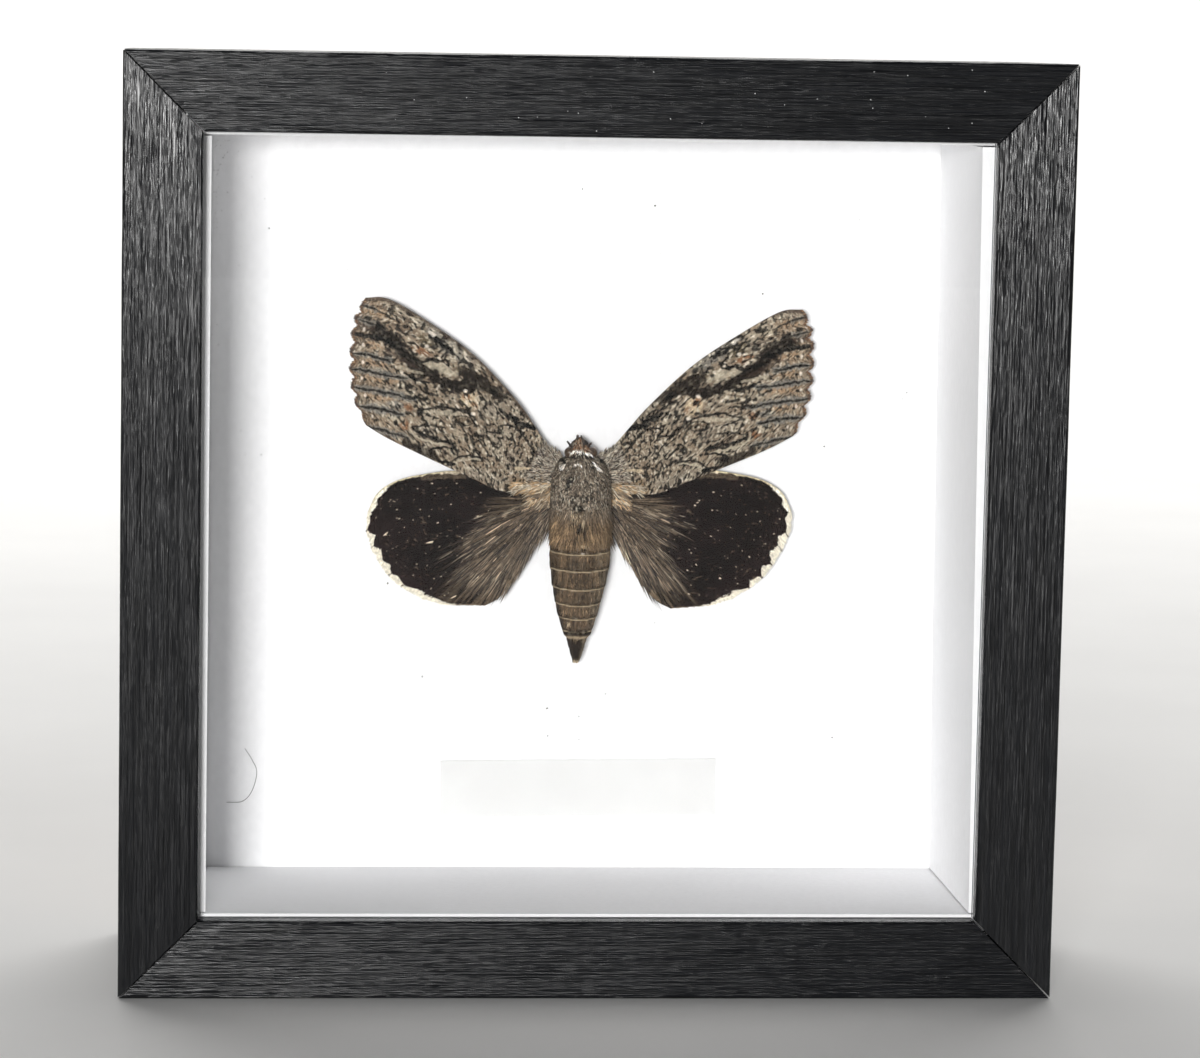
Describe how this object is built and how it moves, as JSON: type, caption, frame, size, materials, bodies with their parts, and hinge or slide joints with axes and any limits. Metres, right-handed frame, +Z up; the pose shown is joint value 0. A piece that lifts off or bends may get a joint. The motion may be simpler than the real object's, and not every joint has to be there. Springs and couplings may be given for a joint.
{
  "type": "framed moth specimen",
  "caption": "Deep square box frame with a glazed front and a spread moth fixed to its white backing board, over a small label.",
  "frame": {"origin": "middle of the frame's underside, which it stands on", "axes": "+Z up, the glazed front faces -Y, +X to the viewer's right"},
  "size_m": [0.17, 0.056, 0.17],
  "materials": {
    "frame_black": "black, fine ribbed grain, satin",
    "clear_glass": "clear float glass",
    "white_card": "matt white card",
    "label_paper": "off-white paper sticker",
    "brown_hardboard": "plain hardboard",
    "zinc_steel": "zinc plated",
    "moth_body": "dry grey-brown hair",
    "forewing_scales": "matt grey and brown scales",
    "hindwing_scales": "matt black-brown scales, pale fringe"
  },
  "bodies": {
    "root": {"rail_bottom": "frame_black", "rail_left": "frame_black", "rail_top": "frame_black", "rail_right": "frame_black", "glass_pane": "clear_glass", "mount_board": "white_card", "spacer_bottom": "white_card", "spacer_top": "white_card", "spacer_left": "white_card", "spacer_right": "white_card", "label": "label_paper", "back_panel": "brown_hardboard", "tab_1": "zinc_steel", "tab_2": "zinc_steel", "tab_3": "zinc_steel", "tab_4": "zinc_steel", "tab_5": "zinc_steel", "tab_6": "zinc_steel", "tab_7": "zinc_steel", "tab_8": "zinc_steel", "hanger": "zinc_steel", "hanger_nail_left": "zinc_steel", "hanger_nail_right": "zinc_steel", "body": "moth_body", "forewing_left": "forewing_scales", "forewing_right": "forewing_scales", "hindwing_left": "hindwing_scales", "hindwing_right": "hindwing_scales"}
  },
  "joints": []
}
